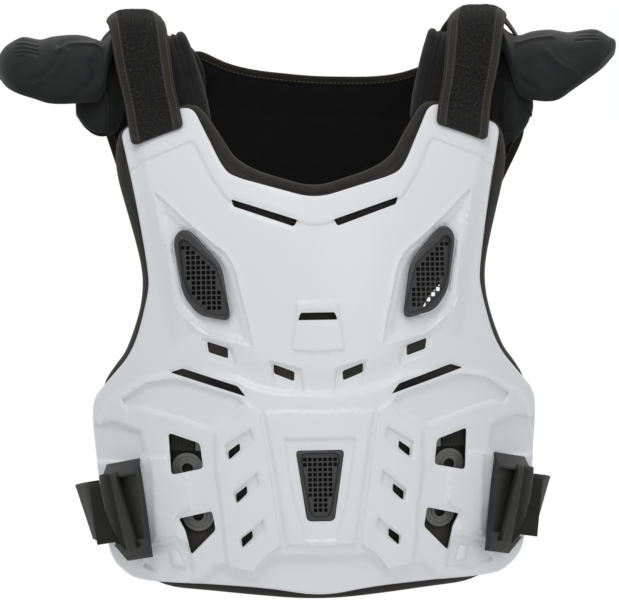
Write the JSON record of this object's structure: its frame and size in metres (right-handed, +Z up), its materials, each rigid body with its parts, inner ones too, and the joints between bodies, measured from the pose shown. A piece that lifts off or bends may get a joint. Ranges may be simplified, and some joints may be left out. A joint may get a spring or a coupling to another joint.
{
  "type": "motocross roost deflector",
  "caption": "Worn chest and back protector: moulded white plates over padded liners, with vents, shoulder straps, padded shoulder cups and buckled side straps.",
  "frame": {"origin": "between the shoulders, at the height of the padding that rests on them, midway between chest and back", "axes": "+Z up the spine, -Y out through the chest, +X to the right of someone facing the chest"},
  "size_m": [0.5315, 0.2777, 0.5029],
  "materials": {
    "white_plastic": "satin moulded plastic",
    "liner_fabric": "matt, bound edge",
    "lining_fabric": "matt",
    "vent_rubber": "satin",
    "grey_plastic": "satin",
    "loop_strap": "fuzzy",
    "padded_band": "matt",
    "cup_fabric": "matt",
    "buckle_plastic": "fine texture",
    "webbing": "matt"
  },
  "bodies": {
    "root": {"chest_shell": "white_plastic", "back_shell": "white_plastic", "chest_liner": "liner_fabric", "back_liner": "lining_fabric", "belly_vent": "vent_rubber", "chest_vent_left": "vent_rubber", "chest_vent_right": "vent_rubber", "strap_bracket_left": "grey_plastic", "shoulder_strap_left": "loop_strap", "shoulder_pad_left": "padded_band", "shoulder_cup_left": "cup_fabric", "shoulder_lobe_left": "cup_fabric", "buckle_frame_left": "buckle_plastic", "buckle_lever_left": "buckle_plastic", "side_strap_left": "webbing", "strap_bracket_right": "grey_plastic", "shoulder_strap_right": "loop_strap", "shoulder_pad_right": "padded_band", "shoulder_cup_right": "cup_fabric", "shoulder_lobe_right": "cup_fabric", "buckle_frame_right": "buckle_plastic", "buckle_lever_right": "buckle_plastic", "side_strap_right": "webbing"}
  },
  "joints": []
}
